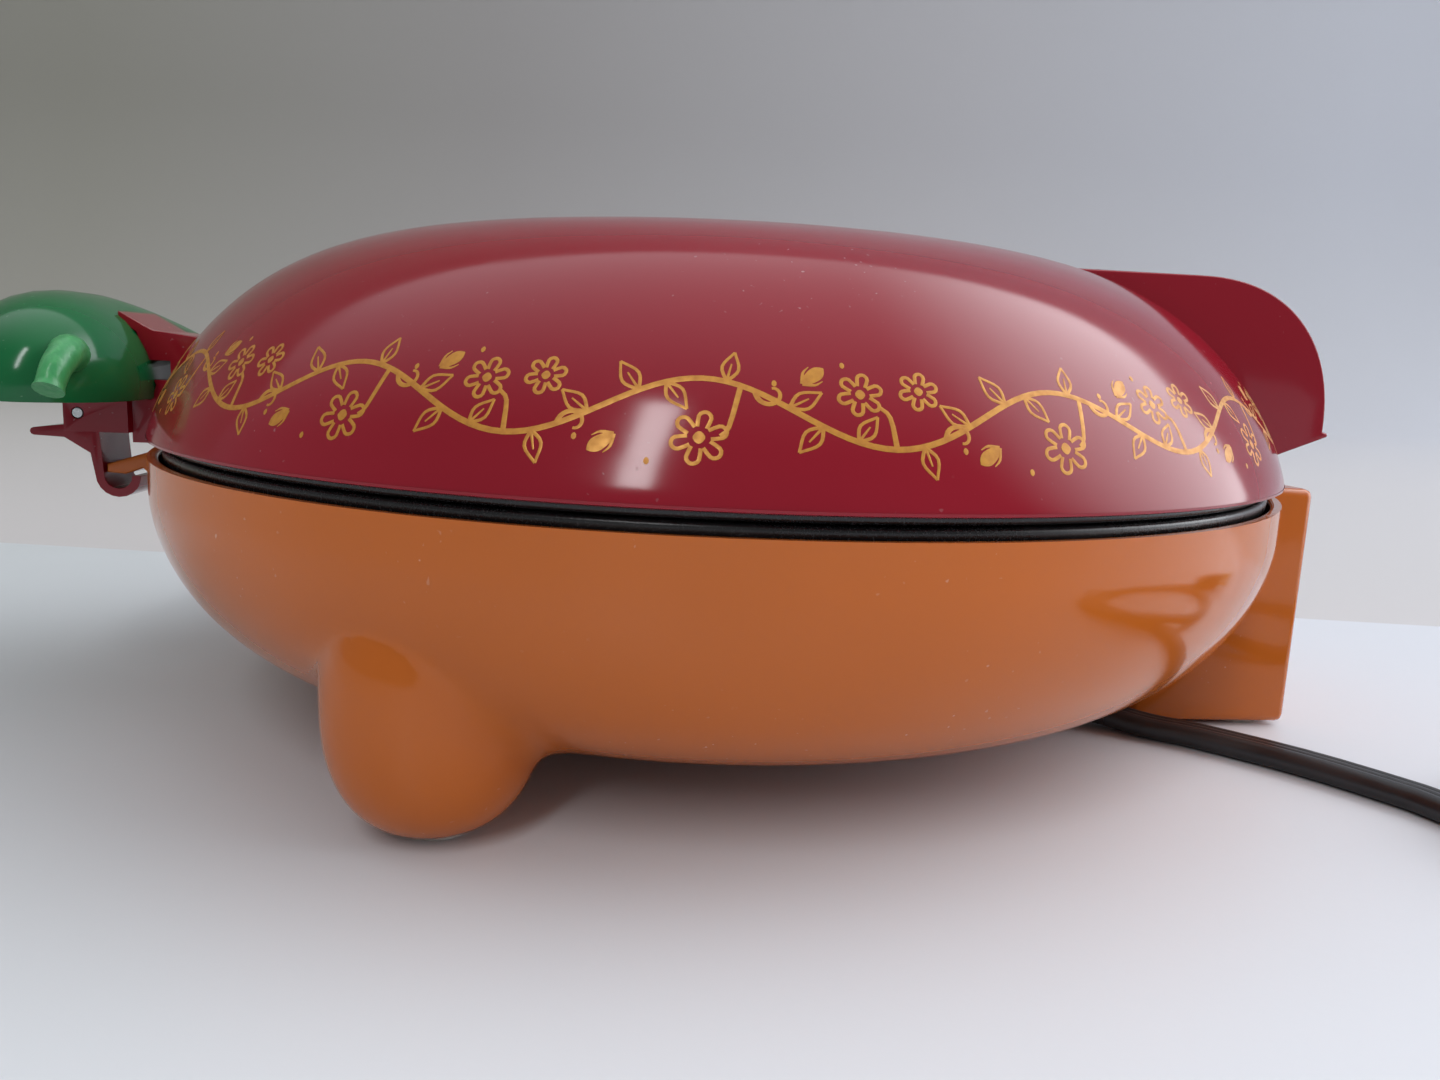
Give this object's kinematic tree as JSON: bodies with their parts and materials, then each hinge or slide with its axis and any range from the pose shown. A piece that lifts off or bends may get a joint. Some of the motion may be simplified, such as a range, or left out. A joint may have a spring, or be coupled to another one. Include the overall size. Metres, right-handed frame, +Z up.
{
  "type": "quesadilla maker",
  "caption": "Round clam-shell countertop cooker with hinged domed lid, wedge plates, pepper-shaped handle, latch, feet and cord.",
  "frame": {"origin": "on the table, under the middle of the appliance without its cord", "axes": "+Z up, +X from the handle to the hinge, +Y to the left of someone at the handle looking along +X"},
  "size_m": [0.4766, 0.338, 0.1206],
  "materials": {
    "orange_base": "high-gloss orange",
    "screw_steel": "zinc-plated",
    "black_vinyl": "satin black vinyl",
    "pale_rubber": "matte pale rubber",
    "red_lid": "high-gloss deep red",
    "sheet_steel": "mill finish",
    "plate_coating": "black non-stick coating",
    "green_handle": "high-gloss green",
    "light_green_stem": "glossy lighter green",
    "brass_contacts": "plain brass",
    "amber_lens": "clear amber",
    "green_lens": "clear green",
    "white_sleeve": "woven glass sleeve",
    "ceramic": "unglazed ceramic"
  },
  "bodies": {
    "base": {"base_lead_1": "white_sleeve", "base_lead_2": "white_sleeve", "base_shell": "orange_base", "cord_coil": "black_vinyl", "cord_lead": "black_vinyl", "cord_tie": "black_vinyl", "front_left_pad": "pale_rubber", "front_right_pad": "pale_rubber", "hinge_pin": "screw_steel", "lower_heat_shield": "sheet_steel", "lower_heating_ring": "sheet_steel", "lower_plate": "plate_coating", "lower_plate_screw_1": "screw_steel", "lower_plate_screw_2": "screw_steel", "lower_plate_screw_3": "screw_steel", "lower_ring_strap_1": "screw_steel", "lower_ring_strap_2": "screw_steel", "lower_terminal_block": "ceramic", "plug_blade_1": "brass_contacts", "plug_blade_2": "brass_contacts", "plug_body": "black_vinyl", "plug_earth_pin": "brass_contacts", "rear_left_pad": "pale_rubber", "rear_right_pad": "pale_rubber", "strain_relief": "black_vinyl", "thermostat": "ceramic"},
    "lid": {"lid_shell": "red_lid", "upper_plate": "plate_coating", "upper_heating_ring": "sheet_steel", "upper_ring_strap_1": "screw_steel", "upper_ring_strap_2": "screw_steel", "upper_heat_shield": "sheet_steel", "upper_terminal_block": "ceramic", "upper_plate_screw_1": "screw_steel", "upper_plate_screw_2": "screw_steel", "upper_plate_screw_3": "screw_steel", "upper_shield_screw_1": "screw_steel", "upper_shield_screw_2": "screw_steel", "upper_shield_screw_3": "screw_steel", "thermal_fuse": "white_sleeve", "lid_lead_1": "white_sleeve", "lid_lead_2": "white_sleeve", "hinge_housing": "red_lid", "housing_screw_1": "screw_steel", "housing_screw_2": "screw_steel", "power_lamp": "amber_lens", "ready_lamp": "green_lens", "handle_bracket": "red_lid", "bracket_screw_1": "screw_steel", "bracket_screw_2": "screw_steel", "handle_screw_1": "screw_steel", "handle_screw_2": "screw_steel", "pepper_handle": "green_handle", "pepper_cover": "green_handle", "pepper_stem": "light_green_stem", "latch_pin": "screw_steel", "latch_spring": "screw_steel"},
    "latch_hook": {"latch": "red_lid"}
  },
  "joints": [
    {"name": "lid_hinge", "type": "hinge", "parent": "base", "child": "lid", "pos_m": [0.16765, 0, 0.0695], "axis": [0, 1, 0], "range_deg": [0, 105]},
    {"name": "latch_swing", "type": "hinge", "parent": "lid", "child": "latch_hook", "pos_m": [-0.14385, 0, 0.0695], "axis": [0, 1, 0], "range_deg": [0, 28], "stiffness_Nm_per_rad": 0.02, "springref_deg": -28.65}
  ]
}
